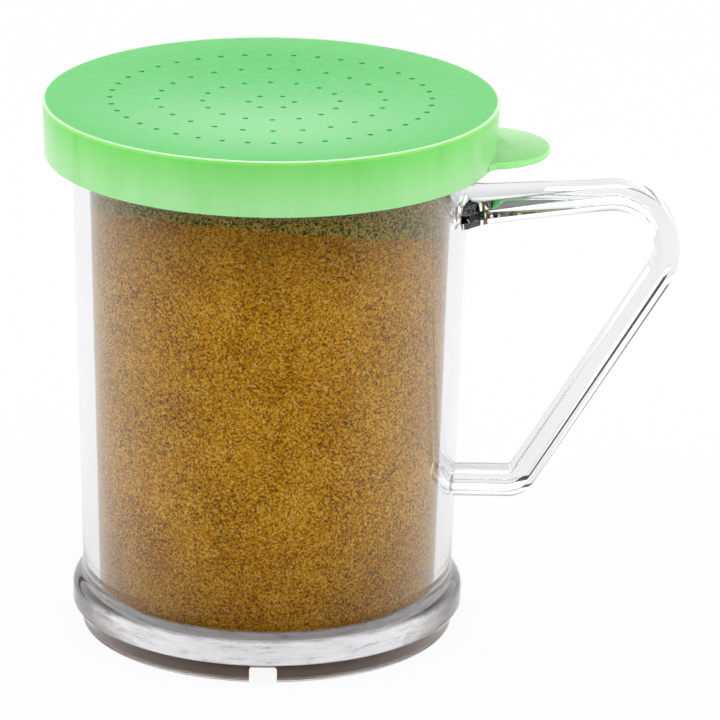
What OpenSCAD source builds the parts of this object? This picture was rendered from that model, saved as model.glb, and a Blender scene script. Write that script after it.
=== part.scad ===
// Restaurant spice shaker: a clear moulded cup with a side handle, filled with ground spice
// and closed by a green perforated lid that is pushed over the rim until it catches.
// Millimetres, +Z up. The origin is on the cup's axis, in the plane that the foot stands on.
// +X points along the handle and the front of the photographed view is -Y.

/* [Cup] */
// Height of the rim above the table
cup_height = 101.5; // [90:0.5:130]
// Outer radius of the wall, carried down to the table plane
wall_radius = 34.95; // [28:0.05:45]
// Lean of the wall away from the axis, in degrees
wall_draft = 1.27; // [0.5:0.01:2.5]
// Thickness of the wall
wall_thickness = 3; // [2:0.1:3.6]
// Height of the floor's upper face above the table
floor_level = 5.5; // [5.2:0.1:14]
// Thickness of the floor
floor_thickness = 2.1; // [1.5:0.1:3]
// Radius of the inside corner between the floor and the wall
floor_corner = 0.8; // [0.5:0.1:5]

/* [Rim] */
// How far the rim stands out from the wall
rim_overhang = 3.2; // [2:0.1:5]
// Height of the rim's upright band
rim_depth = 8; // [6:0.1:12]
// Height of the curved underside that joins the rim to the wall
rim_blend = 3.2; // [1:0.1:5]
// Radius of the rounded edges on top of the rim
rim_round = 0.8; // [0.3:0.1:1.2]

/* [Foot] */
// How far the foot ring's outside stands out from the wall
foot_outset = 0.35; // [0.1:0.05:1]
// Width of the foot ring where it meets the table
foot_width = 2.3; // [1.5:0.1:4]
// Height of the foot ring below the bead
foot_height = 3.9; // [3.6:0.1:4.8]
// How far the base bead stands out from the wall
bead_overhang = 2.1; // [1.2:0.1:4]
// Height of the bead's upright band
bead_band = 3.1; // [1:0.1:5]
// Height of the slope from the bead up to the wall
bead_slope = 4.2; // [2:0.1:8]
// Width of a drain notch in the foot ring
notch_width = 5.2; // [3:0.1:12]
// Height of a drain notch
notch_height = 3; // [1.5:0.1:3.4]
// Radius of the rounded upper corners of a drain notch
notch_round = 0.6; // [0.2:0.1:1]
// Number of drain notches, spread evenly from the front
notch_count = 2; // [1:1:6]

/* [Handle] */
// Width of the handle bar, across the handle's plane
handle_width = 8.8; // [6:0.1:12]
// Thickness of the handle bar, in the handle's plane
handle_thickness = 4.6; // [3:0.1:6]
// Width of the flat face between the bevels at the front and the back of the bar
handle_face = 1.7; // [1:0.1:2.5]
// Depth of the bevels along the bar's edges
handle_bevel = 1.2; // [0.4:0.1:2]
// Width of the bar where its upper end meets the wall, without the flare
root_width = 15; // [12:0.5:20]
// Length over which the upper end widens
root_length = 24; // [12:0.5:26]
// How much the flare widens the bar at the wall
root_flare = 4; // [1:0.5:6]
// Length of the flare
flare_length = 4.2; // [2:0.1:8]
// Drop from the rim's top to the middle of the bar's upper end
handle_drop = 18.9; // [17:0.1:24]
// Height of the middle of the lower arm above the table
low_arm_height = 28.05; // [20:0.05:36]
// Length of the lower arm from the wall to its corner
low_arm_length = 11.84; // [9:0.01:20]
// Rise of the upper arm away from the wall, in degrees
arm_rise = 5.4; // [0:0.1:10]
// Lean of the long leg away from upright, in degrees
leg_lean = 31.6; // [24:0.1:40]
// Middle radius of the upper bend
upper_bend = 10.3; // [6:0.1:12]
// Middle radius of the lower bend
lower_bend = 3.4; // [3.2:0.1:5]

/* [Lid] */
// Thickness of the lid's plate
plate_thickness = 1.55; // [1.2:0.05:2.5]
// Depth of the shallow dish in the middle of the lid
dish_depth = 1; // [0.2:0.1:3]
// Radius of the shallow dish
dish_radius = 31; // [30:0.5:32]
// Height of the skirt, from the lid's top to its lower edge
skirt_height = 10.65; // [9:0.05:16]
// Thickness of the skirt at its top
skirt_wall = 1.8; // [1:0.1:3]
// How much narrower the skirt is at its lower edge
skirt_taper = 0.3; // [0:0.05:0.5]
// Radius of the lid's top edge
lid_edge = 0.4; // [0.2:0.1:1]
// Gap between the rim and the skirt
skirt_clearance = 0.3; // [0.1:0.05:0.6]
// Gap between the rim and the skirt's catch bead, drawn stretched open
catch_clearance = 0.1; // [0.05:0.01:0.2]
// Height of the catch bead
catch_height = 1; // [0.5:0.1:1.5]
// Depth of the sealing ring that dips into the cup
plug_depth = 5; // [2:0.1:8]
// Thickness of the sealing ring
plug_wall = 1.4; // [1:0.1:2]
// Gap between the sealing ring and the cup's inner wall
plug_clearance = 0.15; // [0.05:0.01:0.5]
// Turn of the lid on the rim, in degrees
lid_turn = 2; // [-180:1:180]

/* [Lid tab] */
// Radius of the rounded pull tab
tab_radius = 12.5; // [8:0.1:16]
// How far the tab's tip stands out from the lid's top edge
tab_reach = 9.7; // [5:0.1:12]
// Thickness of the tab
tab_thickness = 1.3; // [0.8:0.1:3]
// Height of the tab's underside above the skirt's lower edge
tab_lift = 0.3; // [0:0.1:3]
// Radius of the blend between the tab and the skirt
tab_blend = 3; // [1:0.1:5]

/* [Lid holes] */
// Diameter of a pouring hole
hole_diameter = 1.2; // [0.8:0.1:2.5]
// Radius of the first ring of holes
ring_1_radius = 4.25; // [3:0.05:6]
// Number of holes in the first ring
ring_1_count = 6; // [3:1:8]
// Radius of the second ring of holes
ring_2_radius = 12.8; // [9:0.1:15]
// Number of holes in the second ring
ring_2_count = 16; // [6:1:20]
// Radius of the third ring of holes
ring_3_radius = 21.2; // [18:0.1:24]
// Number of holes in the third ring
ring_3_count = 24; // [8:1:36]
// Radius of the fourth ring of holes
ring_4_radius = 30; // [27:0.1:31]
// Number of holes in the fourth ring
ring_4_count = 40; // [12:1:50]

/* [Spice] */
// Drop from the rim's top to the middle of the spice's surface
fill_drop = 22; // [20:0.5:60]
// Tilt of the spice's surface, in degrees
fill_tilt = 16; // [0:1:18]
// Direction of the spice's high side, in degrees from +X
fill_side = -113; // [-180:1:180]
// Gap between the spice and the cup's inner wall
fill_gap = 0.15; // [0.05:0.01:0.4]

/* [Hidden] */
$fn = 96;
arc_steps = 8;
dish_steps = 10;
flare_steps = 5;
far = 400;
spare = 1;

function wall_r(z) = wall_radius + z * tan(wall_draft);
function inner_r(z) = wall_r(z) - wall_thickness;
function arc(x, y, r, a, b, n = arc_steps) =
    [for (i = [0 : n]) [x + r * cos(a + (b - a) * i / n), y + r * sin(a + (b - a) * i / n)]];

// Foot and base bead
foot_r = wall_radius + foot_outset;
foot_inner_r = foot_r - foot_width;
floor_under = floor_level - floor_thickness;
bead_r = wall_r(foot_height) + bead_overhang;
bead_edge = 0.4;
bead_band_top = foot_height + bead_band;

// Rim
rim_r = wall_r(cup_height) + rim_overhang;
rim_under = cup_height - rim_depth;

// Lid
lid_top = cup_height + plate_thickness;
skirt_bottom = lid_top - skirt_height;
skirt_inner_r = rim_r + skirt_clearance;
lid_r = skirt_inner_r + skirt_wall;
catch_r = rim_r + catch_clearance;
plug_bottom = cup_height - plug_depth;
plug_r = inner_r(plug_bottom) - plug_clearance;
tab_centre = lid_r + tab_reach - tab_radius;
tab_bottom = skirt_bottom + tab_lift;
tab_anchor_r = skirt_inner_r + skirt_wall / 3;
ring_radii = [ring_1_radius, ring_2_radius, ring_3_radius, ring_4_radius];
ring_counts = [ring_1_count, ring_2_count, ring_3_count, ring_4_count];

// Handle: the middle line runs out along the upper arm, round the upper bend, down the leg,
// round the lower bend and back along the lower arm
arm_z = cup_height - handle_drop;
arm_x = wall_r(arm_z);
low_x = wall_r(low_arm_height) + low_arm_length;
upper_corner = corner_point();
upper_setback = upper_bend * tan((180 - corner_angle()) / 2);
lower_setback = lower_bend * tan((90 - leg_lean) / 2);

// Angle inside the corner where the upper arm and the leg would meet
function corner_angle() = 90 - leg_lean - arm_rise;

// Where the middle lines of the upper arm and the leg would meet, as [x, z]
function corner_point() =
    let (z = (arm_z + (low_x - low_arm_height * tan(leg_lean) - arm_x) * tan(arm_rise))
             / (1 - tan(leg_lean) * tan(arm_rise)))
    [low_x + (z - low_arm_height) * tan(leg_lean), z];

// Half of the foot, bead, wall and rim, seen as solid from the axis out
function outer_outline() = concat(
    [[foot_r, 0], [foot_r, foot_height], [bead_r - bead_edge, foot_height]],
    arc(bead_r - bead_edge, foot_height + bead_edge, bead_edge, -90, 0, 4),
    [for (i = [0 : 2 * arc_steps])
        let (s = i / (2 * arc_steps), z = bead_band_top + s * bead_slope)
        [wall_r(z) + (bead_r - wall_r(bead_band_top)) * (1 + cos(180 * s)) / 2, z]],
    [for (i = [0 : arc_steps])
        let (a = 90 * i / arc_steps, z = rim_under - rim_blend * cos(a))
        [wall_r(z) + (rim_r - wall_r(rim_under)) * (1 - cos(a)), z]],
    arc(rim_r - rim_round, cup_height - rim_round, rim_round, 0, 90));

// The hollow for the spice, and the rounded inner edge of the rim above it
function hollow_outline(gap) =
    let (c = floor_corner, z = floor_level + c)
    concat([[0, floor_level]], arc(inner_r(z) - gap - c, z, c, -90, 0));

module cup_outside() {
    rotate_extrude()
        polygon(concat([[0, 0]], outer_outline(), [[0, cup_height]]));
}

module cup_hollow() {
    edge_x = inner_r(cup_height) + rim_round;
    rotate_extrude()
        polygon(concat(
            hollow_outline(0),
            arc(edge_x, cup_height - rim_round, rim_round, 180, 90),
            [[edge_x, cup_height + spare], [0, cup_height + spare]]));
}

module drain_notch() {
    depth = bead_r - foot_inner_r + 2 * spare;
    translate([foot_inner_r - spare, 0, 0])
        rotate([90, 0, 90])
            linear_extrude(depth)
                polygon(concat(
                    [[notch_width / 2, -spare]],
                    arc(notch_width / 2 - notch_round, notch_height - notch_round, notch_round, 0, 90, 4),
                    arc(notch_round - notch_width / 2, notch_height - notch_round, notch_round, 90, 180, 4),
                    [[-notch_width / 2, -spare]]));
}

module cup() {
    color([0.86, 0.88, 0.9, 0.35])
        difference() {
            cup_outside();
            cup_hollow();
            translate([0, 0, -spare])
                cylinder(h = floor_under + spare, r = foot_inner_r);
            for (i = [0 : notch_count - 1])
                rotate(-90 + i * 360 / notch_count)
                    drain_notch();
        }
}

// Bevelled cross-section of the bar: x points to the outside of the bends, y across the handle's plane
function bar_section(width) =
    let (
        x = handle_thickness / 2,
        y = width / 2,
        corners = [[x, y - handle_bevel], [handle_face / 2, y]],
        upper = concat(corners, [for (c = reversed(corners)) [-c[0], c[1]]])
    )
    concat(upper, [for (c = reversed(upper)) [c[0], -c[1]]]);

// A station on the middle line is [x, z, heading, width of the bar]
function station(point, heading, width = handle_width) = [point[0], point[1], heading, width];
function root_station(along, arm_dir) =
    let (
        taper = (root_width - handle_width) * (1 - along / root_length),
        flare = root_flare * pow(1 - along / flare_length, 2)
    )
    station([arm_x, arm_z] + along * arm_dir, arm_rise, handle_width + taper + flare);
function bend_stations(centre, radius, from, to, n) =
    [for (i = [0 : n])
        let (h = from + (to - from) * i / n)
        station(centre + radius * [-sin(h), cos(h)], h)];

function handle_stations() =
    let (
        arm_dir = [cos(arm_rise), sin(arm_rise)],
        leg_dir = [-sin(leg_lean), -cos(leg_lean)],
        leg_heading = -90 - leg_lean,
        root_end = root_width + root_flare,
        inset = root_end * root_end / (8 * arm_x) + spare,
        arm_end = upper_corner - upper_setback * arm_dir,
        upper_centre = arm_end - upper_bend * [-sin(arm_rise), cos(arm_rise)],
        low_centre = [low_x - lower_setback, low_arm_height + lower_bend],
        low_inset = handle_width * handle_width / (8 * low_x) + spare,
        low_end = [wall_r(low_arm_height) - low_inset, low_arm_height]
    )
    concat(
        [
            station([arm_x, arm_z] - inset * arm_dir, arm_rise, root_end),
            for (i = [0 : flare_steps]) root_station(flare_length * i / flare_steps, arm_dir),
            station([arm_x, arm_z] + root_length * arm_dir, arm_rise)
        ],
        bend_stations(upper_centre, upper_bend, arm_rise, leg_heading, 16),
        bend_stations(low_centre, lower_bend, leg_heading, -180, 8),
        [station(low_end, -180)]);

// The bar's section, carried along its stations
module handle_bar() {
    stations = handle_stations();
    n = len(bar_section(handle_width));
    last = len(stations) - 1;
    points = [for (s = stations) for (p = bar_section(s[3]))
        [s[0] - sin(s[2]) * p[0], p[1], s[1] + cos(s[2]) * p[0]]];
    sides = [for (k = [0 : last - 1]) for (i = [0 : n - 1])
        let (j = (i + 1) % n)
        each [[k * n + i, k * n + j, k * n + n + j], [k * n + i, k * n + n + j, k * n + n + i]]];
    start_cap = [[for (i = [n - 1 : -1 : 0]) i]];
    end_cap = [[for (i = [0 : n - 1]) last * n + i]];
    polyhedron(points, concat(sides, start_cap, end_cap));
}

module handle() {
    color([0.9, 0.91, 0.93, 0.4])
        difference() {
            handle_bar();
            cup_outside();
        }
}

module spice_fill() {
    fill_z = cup_height - fill_drop;
    top_r = inner_r(plug_bottom) - fill_gap;
    color([0.66, 0.49, 0.18])
        difference() {
            rotate_extrude()
                polygon(concat(hollow_outline(fill_gap), [[top_r, plug_bottom], [0, plug_bottom]]));
            translate([0, 0, fill_z])
                rotate(fill_side)
                    rotate([0, -fill_tilt, 0])
                        translate([-far / 2, -far / 2, 0])
                            cube([far, far, far]);
        }
}

// The dish's height below the lid's top edge at a distance from the axis
function dish(r) = r >= dish_radius ? 0 : dish_depth * (1 - pow(r / dish_radius, 2));
function dish_points() = [for (i = [0 : dish_steps]) let (r = dish_radius * i / dish_steps) [r, -dish(r)]];
function reversed(points) = [for (i = [len(points) - 1 : -1 : 0]) points[i]];

module lid_shell() {
    top_points = [for (p = dish_points()) [p[0], lid_top + p[1]]];
    under_points = [for (p = dish_points()) [p[0], cup_height + p[1]]];
    rotate_extrude()
        polygon(concat(
            top_points,
            arc(lid_r - lid_edge, lid_top - lid_edge, lid_edge, 90, 0, 4),
            [
                [lid_r - skirt_taper, skirt_bottom],
                [catch_r + bead_edge, skirt_bottom],
                [catch_r, skirt_bottom + bead_edge],
                [catch_r, skirt_bottom + catch_height],
                [skirt_inner_r, skirt_bottom + catch_height + bead_edge],
                [skirt_inner_r, cup_height],
                [plug_r, cup_height],
                [plug_r, plug_bottom + bead_edge],
                [plug_r - bead_edge, plug_bottom],
                [plug_r - plug_wall, plug_bottom],
                [plug_r - plug_wall, cup_height]
            ],
            reversed(under_points)));
}

// The round tab, with a blend on each side where it leaves the skirt
module tab_outline() {
    reach = tab_radius + tab_blend;
    skirt = lid_r + tab_blend;
    blend_x = (skirt * skirt - reach * reach + tab_centre * tab_centre) / (2 * tab_centre);
    blend_y = sqrt(skirt * skirt - blend_x * blend_x);
    tab_angle = atan2(blend_y, blend_x - tab_centre);
    skirt_angle = atan2(blend_y, blend_x);
    side = concat(
        arc(tab_centre, 0, tab_radius, 0, tab_angle, 3 * arc_steps),
        arc(blend_x, blend_y, tab_blend, tab_angle - 180, skirt_angle - 180, arc_steps));
    anchor = [for (i = [-4 : 4]) tab_anchor_r * [cos(skirt_angle * i / 4), -sin(skirt_angle * i / 4)]];
    polygon(concat(
        side,
        anchor,
        [for (p = reversed(side)) [p[0], -p[1]]]));
}

module lid() {
    color([0.53, 0.88, 0.48])
        rotate(lid_turn)
            difference() {
                union() {
                    lid_shell();
                    translate([0, 0, tab_bottom])
                        linear_extrude(tab_thickness)
                            tab_outline();
                }
                for (k = [0 : len(ring_radii) - 1])
                    for (i = [0 : ring_counts[k] - 1])
                        rotate(i * 360 / ring_counts[k])
                            translate([ring_radii[k], 0, cup_height - dish_depth - spare])
                                cylinder(h = plate_thickness + dish_depth + 2 * spare, d = hole_diameter, $fn = 24);
            }
}

cup();
handle();
spice_fill();
lid();
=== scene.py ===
# %% [markdown]
# # A spice shaker in clear polycarbonate
# The object is a hand shaker: a clear moulded cup with a side handle, a green perforated lid that
# is pushed over the rim, and the ground spice inside. The frame that the CAD model gives holds the real
# sizes, the bodies and the joint. This script dresses that frame: each CAD node gets a finer mesh of
# the same shape, with smooth curves for the light to bend through, and a material for its finish.

# %% Load the frame
import math
import random

import bmesh
import bpy
from mathutils import Matrix, Vector, noise


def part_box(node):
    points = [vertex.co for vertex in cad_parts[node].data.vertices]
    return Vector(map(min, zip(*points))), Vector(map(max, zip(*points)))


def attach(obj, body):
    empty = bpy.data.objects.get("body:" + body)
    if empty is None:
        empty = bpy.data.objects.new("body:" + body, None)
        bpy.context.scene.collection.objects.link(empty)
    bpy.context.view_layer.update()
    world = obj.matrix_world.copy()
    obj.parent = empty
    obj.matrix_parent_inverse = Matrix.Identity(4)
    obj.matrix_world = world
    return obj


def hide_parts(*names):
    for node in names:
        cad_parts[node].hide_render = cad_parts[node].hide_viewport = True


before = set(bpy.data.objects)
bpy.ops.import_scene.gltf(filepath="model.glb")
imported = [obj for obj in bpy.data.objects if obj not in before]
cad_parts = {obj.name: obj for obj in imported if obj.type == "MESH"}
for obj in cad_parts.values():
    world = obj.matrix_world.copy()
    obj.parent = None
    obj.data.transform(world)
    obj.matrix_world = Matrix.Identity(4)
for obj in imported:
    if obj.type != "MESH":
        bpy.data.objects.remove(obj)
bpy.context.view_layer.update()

# %% [markdown]
# ## Units and small helpers
# Blender works in metres, but a moulded part is drawn in millimetres, so sizes below are written in
# millimetres and turned into metres where a mesh is made. The wall of the cup leans out a little all
# the way up, because a moulded cup has to slide off its core, so its radius is a function of height.

# %% Units
MM = 0.001


def mm_box(node):
    """A CAD node's lowest and highest corner, in millimetres."""
    low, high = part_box(node)
    return [v / MM for v in low], [v / MM for v in high]


cup_high = mm_box("cup")[1]
lid_low, lid_high = mm_box("lid")
CUP_HEIGHT = cup_high[2]
LID_TOP = lid_high[2]
SKIRT_BOTTOM = lid_low[2]
WALL_RADIUS = 34.95
WALL_DRAFT = math.radians(1.27)
WALL_THICKNESS = 3.0
print(f"rim at {CUP_HEIGHT:.2f} mm, lid's top at {LID_TOP:.2f} mm")


def wall_r(z):
    """Outer radius of the cup's wall at a height."""
    return WALL_RADIUS + z * math.tan(WALL_DRAFT)


def inner_r(z):
    """Inner radius of the cup's wall at a height."""
    return wall_r(z) - WALL_THICKNESS


# %% [markdown]
# ## Turned shapes
# Cup, lid and spice are all round, so each starts as an outline that is spun about the axis. A small
# lathe function does that: it takes the outline as (radius, height) points and joins each ring to the
# next with quads. Round corners of the outline are arcs, which another small function samples. The
# rows along a straight wall are kept close together, so that the light bends evenly through it.

# %% Outline and lathe helpers
ROUND_STEPS = 256


def arc(x, y, r, start, end, steps):
    """Points on an arc, from one angle to another in degrees."""
    points = []
    for i in range(steps + 1):
        a = math.radians(start + (end - start) * i / steps)
        points.append((x + r * math.cos(a), y + r * math.sin(a)))
    return points


def evenly(a, b, longest):
    """Points from a towards b, without b, so that no step is longer than asked."""
    steps = max(1, math.ceil(math.dist(a, b) / longest))
    return [(a[0] + (b[0] - a[0]) * i / steps, a[1] + (b[1] - a[1]) * i / steps) for i in range(steps)]


def refine(outline, longest):
    """A closed outline with its long sides cut into short steps."""
    points = []
    for a, b in zip(outline, outline[1:] + outline[:1]):
        points += evenly(a, b, longest)
    return points


def new_object(name, verts, faces, scale=MM):
    """A mesh object from points in millimetres."""
    mesh = bpy.data.meshes.new(name)
    mesh.from_pydata([Vector(v) * scale for v in verts], [], faces)
    mesh.validate()
    obj = bpy.data.objects.new(name, mesh)
    bpy.context.scene.collection.objects.link(obj)
    return obj


def lathe(name, outline):
    """Spins a closed outline of (radius, height) points about the Z axis."""
    verts, rings = [], []
    for r, z in outline:
        if r < 1e-6:
            rings.append([len(verts)] * ROUND_STEPS)
            verts.append((0, 0, z))
            continue
        rings.append(list(range(len(verts), len(verts) + ROUND_STEPS)))
        for i in range(ROUND_STEPS):
            a = 2 * math.pi * i / ROUND_STEPS
            verts.append((r * math.cos(a), r * math.sin(a), z))
    faces = []
    for low, high in zip(rings, rings[1:] + rings[:1]):
        for i in range(ROUND_STEPS):
            j = (i + 1) % ROUND_STEPS
            corners = [low[i], low[j], high[j], high[i]]
            corners = [v for k, v in enumerate(corners) if v != corners[k - 1]]
            if len(corners) > 2:
                faces.append(corners)
    return new_object(name, verts, faces)


def outward(obj):
    """Turns every face outward."""
    mesh = bmesh.new()
    mesh.from_mesh(obj.data)
    bmesh.ops.recalc_face_normals(mesh, faces=mesh.faces)
    mesh.to_mesh(obj.data)
    mesh.free()


def smooth(obj, angle):
    """Shades curved faces smooth, and keeps edges sharper than the angle."""
    for face in obj.data.polygons:
        face.use_smooth = True
    obj.data.set_sharp_from_angle(angle=math.radians(angle))


SLIVER_EDGE = 1e-6


def carve(obj, tool, how):
    """Joins a tool to an object or cuts it out, then clears the hair-thin faces that a boolean leaves."""
    step = obj.modifiers.new(how, "BOOLEAN")
    step.operation = how
    step.solver = "EXACT"
    step.object = tool
    bpy.context.view_layer.update()
    done = bpy.data.meshes.new_from_object(obj.evaluated_get(bpy.context.evaluated_depsgraph_get()))
    obj.modifiers.clear()
    tidy = bmesh.new()
    tidy.from_mesh(done)
    bmesh.ops.dissolve_degenerate(tidy, dist=SLIVER_EDGE, edges=tidy.edges)
    tidy.to_mesh(done)
    tidy.free()
    obj.data = done
    bpy.data.objects.remove(tool)


# %% [markdown]
# ## Materials: the way in
# Every finish is a Principled shader fed by procedural patterns. One function turns the given sRGB hex
# values into the linear numbers that the shader wants, and one adds a node with
# its settings and its links, so that a material reads from top to bottom like a recipe.

# %% Colour and node helpers


def hex_colour(code):
    """An sRGB hex colour as linear red, green, blue and 1."""
    channels = [int(code[i : i + 2], 16) / 255 for i in (1, 3, 5)]
    return [c / 12.92 if c <= 0.04045 else ((c + 0.055) / 1.055) ** 2.4 for c in channels] + [1.0]


def add(material, kind, links=None, values=None, stops=(), **settings):
    """Adds a node: settings are its own, values fill its sockets, links join them, stops colour a ramp."""
    node = material.node_tree.nodes.new(kind)
    for name, value in settings.items():
        setattr(node, name, value)
    for name, value in (values or {}).items():
        node.inputs[name].default_value = value
    for name, source in (links or {}).items():
        material.node_tree.links.new(source, node.inputs[name])
    for place, code in stops[1:-1]:
        node.color_ramp.elements.new(place)
    for i, (place, code) in enumerate(stops):
        node.color_ramp.elements[i].position = place
        node.color_ramp.elements[i].color = hex_colour(code)
    return node


def new_material(name):
    """An empty node material, with its output node."""
    material = bpy.data.materials.new(name)
    material.use_nodes = True
    material.node_tree.nodes.clear()
    return material, add(material, "ShaderNodeOutputMaterial")


def finish_surface(material, output, shader):
    """Joins a shader to a material's surface."""
    material.node_tree.links.new(shader.outputs[0], output.inputs["Surface"])
    return material


def per_metre(size_mm):
    """The texture scale at which one cell of a pattern has a size in millimetres."""
    return 1 / (size_mm * MM)


# %% [markdown]
# ## Clear polycarbonate
# Cup and handle are injection moulded in clear polycarbonate, whose surface copies the polished steel
# of the mould. It bends light strongly (an index of refraction of 1.585), which is what draws the
# pale bands down both sides of the wall. Use has worn it low down: the base bead and the foot's edge
# are scuffed matt, which makes them pale and cloudy. The foot ring is tinted a faint brown, which is
# painted shade with the spice's brown light in it.
# The scuffs are too thin to show one by one, so a noise of a few millimetres stands in for them. A
# layer weight makes the gloss grow where the wall turns away, as it does on any clear plastic. It also
# thins the scuffed frost where the surface turns away, so the bead's ends turn darker, which is painted
# shade.

# %% Clear polycarbonate material
SCUFFED_FROM, SCUFFED_TO = 3.6, 9.0
WORN_EDGE, WORN_END = 0.3, 0.6
POLYCARBONATE_IOR = 1.585
CLEAR_TONES = [(0.3, "#F8F8FA"), (0.7, "#F4F4F7")]
SCUFFED_TONES = [(0.34, "#DCDCE2"), (0.46, "#F2F2F6"), (0.6, "#FDFDFE")]
# Painted shade: a faint brown for the foot ring, standing for the shaded floor with the spice's light in it.
FOOT_BROWN_SHADE = "#DCCCC2"
# Painted shade: the scuffed frost thins as the surface turns away, so the bead's ends turn darker.
FROST_THINNED_FOR_SHADE = [(0.0, "#FFFFFF"), (0.3, "#F0F0F0"), (0.46, "#909090"), (0.62, "#303030")]
SHINE_BY_ANGLE = [(0.0, "#404040"), (0.12, "#6A6A6A"), (0.4, "#FFFFFF")]


def clear_polycarbonate():
    material, output = new_material("clear_polycarbonate_polished")
    place = add(material, "ShaderNodeTexCoord").outputs["Object"]
    flow = add(
        material, "ShaderNodeTexNoise", {"Vector": place}, {"Scale": per_metre(9), "Detail": 2.0}
    )
    height = add(material, "ShaderNodeSeparateXYZ", {"Vector": place})
    below = add(
        material,
        "ShaderNodeMapRange",
        {"Value": height.outputs["Z"]},
        {"From Min": (SCUFFED_TO - 1) * MM, "From Max": SCUFFED_TO * MM, "To Min": 1.0, "To Max": 0.0},
    )
    above = add(
        material,
        "ShaderNodeMapRange",
        {"Value": height.outputs["Z"]},
        {"From Min": SCUFFED_FROM * MM, "From Max": (SCUFFED_FROM + 0.6) * MM},
    )
    bead = add(
        material,
        "ShaderNodeMath",
        {0: below.outputs["Result"], 1: above.outputs["Result"]},
        operation="MULTIPLY",
    )
    worn_rim = add(
        material,
        "ShaderNodeMapRange",
        {"Value": height.outputs["Z"]},
        {"From Min": WORN_EDGE * MM, "From Max": WORN_END * MM, "To Min": 1.0, "To Max": 0.0},
    )
    low = add(
        material, "ShaderNodeMath", {0: bead.outputs[0], 1: worn_rim.outputs["Result"]}, operation="MAXIMUM"
    )
    # Painted shade: this mask is 0 only on the foot ring, where the faint brown goes.
    outside_foot_shade = add(
        material,
        "ShaderNodeMath",
        {0: above.outputs["Result"], 1: worn_rim.outputs["Result"]},
        operation="MAXIMUM",
    )
    along = add(material, "ShaderNodeMapping", {"Vector": place}, {"Scale": (1.0, 1.0, 5.0)})
    scuffs = add(
        material,
        "ShaderNodeTexNoise",
        {"Vector": along.outputs["Vector"]},
        {"Scale": per_metre(5.0), "Detail": 6.0, "Roughness": 0.72, "Distortion": 0.3},
    )
    cloudy = add(material, "ShaderNodeValToRGB", {"Fac": scuffs.outputs["Fac"]}, stops=SCUFFED_TONES)
    tint = add(material, "ShaderNodeValToRGB", {"Fac": flow.outputs["Fac"]}, stops=CLEAR_TONES)
    colour = add(
        material,
        "ShaderNodeMix",
        {"Factor": low.outputs[0], 6: tint.outputs["Color"], 7: cloudy.outputs["Color"]},
        data_type="RGBA",
    )
    # Painted shade: the foot ring's colour is mixed towards the faint brown.
    foot_shaded = add(
        material,
        "ShaderNodeMix",
        {"Factor": outside_foot_shade.outputs[0], 7: colour.outputs[2]},
        {6: hex_colour(FOOT_BROWN_SHADE)},
        data_type="RGBA",
    )
    wear = add(
        material, "ShaderNodeMath", {0: scuffs.outputs["Fac"], 1: low.outputs[0]}, operation="MULTIPLY"
    )
    gloss = add(
        material,
        "ShaderNodeMapRange",
        {"Value": wear.outputs[0]},
        {"From Min": 0.0, "From Max": 0.7, "To Min": 0.0, "To Max": 0.12},
    )
    bump = add(
        material, "ShaderNodeBump", {"Height": flow.outputs["Fac"]}, {"Strength": 0.02, "Distance": 0.2 * MM}
    )
    turned = add(material, "ShaderNodeLayerWeight", values={"Blend": 0.5})
    # Painted shade: less frost at grazing angles darkens the bead's ends.
    frost_kept = add(material, "ShaderNodeValToRGB", {"Fac": turned.outputs["Facing"]}, stops=FROST_THINNED_FOR_SHADE)
    matt = add(
        material, "ShaderNodeMath", {0: wear.outputs[0], 1: frost_kept.outputs["Color"]}, operation="MULTIPLY"
    )
    clear = add(
        material,
        "ShaderNodeMapRange",
        {"Value": matt.outputs[0]},
        {"From Min": 0.0, "From Max": 0.4, "To Min": 1.0, "To Max": 0.25},
    )
    shine = add(material, "ShaderNodeValToRGB", {"Fac": turned.outputs["Facing"]}, stops=SHINE_BY_ANGLE)
    shader = add(
        material,
        "ShaderNodeBsdfPrincipled",
        {
            "Base Color": foot_shaded.outputs[2],
            "Roughness": gloss.outputs["Result"],
            "Normal": bump.outputs["Normal"],
            "Specular Tint": shine.outputs["Color"],
            "Transmission Weight": clear.outputs["Result"],
        },
        {"IOR": POLYCARBONATE_IOR},
    )
    return finish_surface(material, output, shader)


CLEAR = clear_polycarbonate()
print("material:", CLEAR.name)

# %% [markdown]
# ## The cup
# One moulding: the foot ring, the base bead, the leaning wall, the rim under the lid, the inside with
# its rounded corner, and the recess under the floor. All of it is one closed outline, so the plastic
# has a true thickness everywhere and the light can be bent through it.

# %% Cup outline
FOOT_R = WALL_RADIUS + 0.35
FOOT_INNER_R = FOOT_R - 2.3
FOOT_HEIGHT = 3.9
FLOOR_LEVEL = 5.5
FLOOR_UNDER = 3.4
FLOOR_CORNER = 0.8
BEAD_R = wall_r(FOOT_HEIGHT) + 2.1
BEAD_TOP = FOOT_HEIGHT + 3.1
BEAD_SLOPE = 4.2
RIM_R = cup_high[0]
RIM_UNDER = CUP_HEIGHT - 8
RIM_BLEND = 3.2
RIM_ROUND = 0.8


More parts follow.
